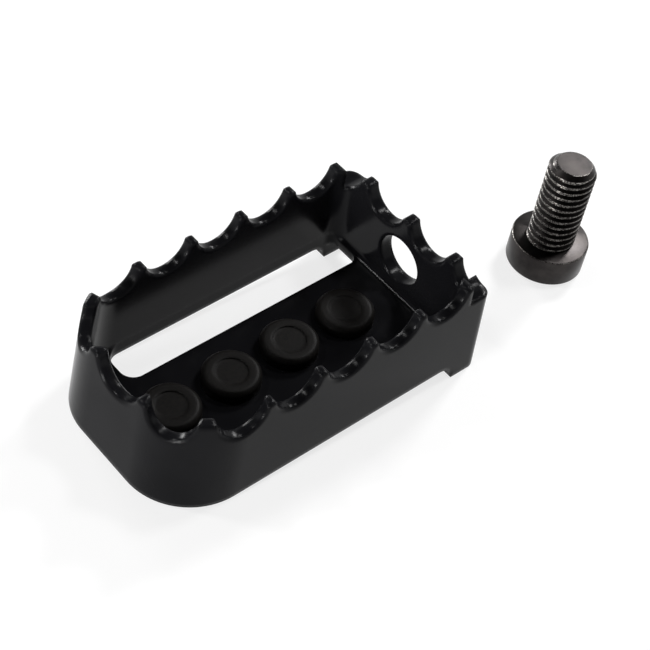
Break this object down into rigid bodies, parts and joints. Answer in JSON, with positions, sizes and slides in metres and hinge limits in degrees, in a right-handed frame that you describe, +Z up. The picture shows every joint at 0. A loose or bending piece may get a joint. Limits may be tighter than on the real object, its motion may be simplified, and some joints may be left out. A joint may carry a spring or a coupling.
{
  "type": "motorbike shifter peg",
  "caption": "Toothed metal tray peg with rubber studs for a gear lever, with its mounting screw standing beside it.",
  "frame": {"origin": "centre of the mounting bore, on the outer face of the end wall that seats on the gear lever", "axes": "+X out of the end wall towards the lever, which is the way the peg's screw leaves the bore; +Z up, out of the open side of the tray; +Y towards the side with the slot"},
  "size_m": [0.0921, 0.033, 0.0215],
  "materials": {
    "body": "gloss black",
    "rubber": "matte black",
    "screw": "black oxide"
  },
  "bodies": {
    "root": {"peg_body": "body", "rubber_stud_1": "rubber", "rubber_stud_2": "rubber", "rubber_stud_3": "rubber", "rubber_stud_4": "rubber", "mounting_screw": "screw"}
  },
  "joints": []
}
